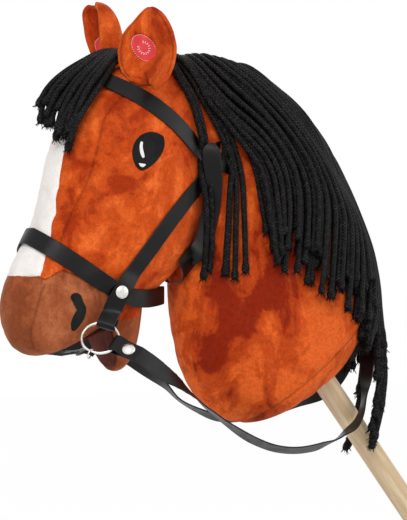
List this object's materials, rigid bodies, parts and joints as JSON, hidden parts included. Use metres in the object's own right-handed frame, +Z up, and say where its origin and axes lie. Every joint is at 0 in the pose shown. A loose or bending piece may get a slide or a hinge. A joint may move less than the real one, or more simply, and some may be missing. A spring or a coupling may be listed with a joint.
{
  "type": "hobby horse",
  "caption": "Stuffed plush horse head with cord mane, strap bridle, rein rings and pressable ear patches, on a round wooden stick.",
  "frame": {"origin": "on the stick's axis, at the middle of the rider's grip just below the neck", "axes": "+Z up as the horse is held, -X where the nose points, -Y the near side; the stick runs down and back"},
  "size_m": [0.7129, 0.1866, 0.8235],
  "materials": {
    "black_cord": "twisted cord",
    "black_felt": "felt",
    "black_strap": "grained, semi-matt",
    "brown_plush": "short nap plush",
    "chestnut_plush": "short nap plush",
    "grey_plastic": "moulded",
    "mouth_lining": "woven lining",
    "nickel": "plated",
    "pale_wood": "sanded, unvarnished",
    "red_patch": "woven patch",
    "white_plush": "short nap plush"
  },
  "bodies": {
    "horse": {"stick": "pale_wood", "stick_socket": "grey_plastic", "neck": "chestnut_plush", "head": "chestnut_plush", "lower_jaw": "brown_plush", "neck_base": "chestnut_plush", "muzzle": "brown_plush", "sound_box": "grey_plastic", "sound_box_lid": "grey_plastic", "mouth_lining": "mouth_lining", "ear_near": "chestnut_plush", "ear_switch_near": "grey_plastic", "ear_far": "chestnut_plush", "ear_switch_far": "grey_plastic", "eye_near": "black_felt", "eye_far": "black_felt", "nostril_near": "black_felt", "nostril_far": "black_felt", "blaze": "white_plush", "noseband": "black_strap", "cheek_strap_near": "black_strap", "cheek_strap_far": "black_strap", "browband": "black_strap", "throatlatch": "black_strap", "rivet_upper_near": "nickel", "rivet_upper_far": "nickel", "rivet_lower_near": "nickel", "rivet_lower_far": "nickel", "bit_strap": "black_strap", "reins": "black_strap", "mane_lock_near_1": "black_cord", "mane_lock_near_2": "black_cord", "mane_lock_near_3": "black_cord", "mane_lock_near_4": "black_cord", "mane_lock_near_5": "black_cord", "mane_lock_far_1": "black_cord", "mane_lock_far_2": "black_cord", "mane_lock_far_3": "black_cord", "mane_lock_far_4": "black_cord", "forelock_lower": "black_cord", "forelock_upper": "black_cord"},
    "ear_button_near": {"ear_patch_near": "red_patch", "ear_plunger_near": "grey_plastic"},
    "ear_button_far": {"ear_patch_far": "red_patch", "ear_plunger_far": "grey_plastic"},
    "rein_ring_set_near": {"rein_ring_near": "nickel", "jump_ring_near": "nickel", "rein_end_near": "black_strap", "rein_rivet_near": "nickel"},
    "rein_ring_set_far": {"rein_ring_far": "nickel", "jump_ring_far": "nickel", "rein_end_far": "black_strap", "rein_rivet_far": "nickel"}
  },
  "joints": [
    {"name": "ear_button_press_near", "type": "slide", "parent": "horse", "child": "ear_button_near", "axis": [0.7168, 0.6972, -0.0102], "range_m": [0, 0.0014], "stiffness_N_per_m": 400},
    {"name": "ear_button_press_far", "type": "slide", "parent": "horse", "child": "ear_button_far", "axis": [0.8304, 0.5314, 0.1675], "range_m": [0, 0.0014], "stiffness_N_per_m": 400},
    {"name": "rein_ring_swing_near", "type": "hinge", "parent": "horse", "child": "rein_ring_set_near", "pos_m": [-0.33915, -0.04811, 0.14322], "axis": [-0.7084, 0.6523, 0.2697], "range_deg": [0, 18], "deforming": ["reins", "bit_strap"]},
    {"name": "rein_ring_swing_far", "type": "hinge", "parent": "horse", "child": "rein_ring_set_far", "pos_m": [-0.33915, 0.04811, 0.14322], "axis": [0.7084, 0.6523, -0.2697], "range_deg": [0, 18], "deforming": ["reins", "bit_strap"]}
  ]
}
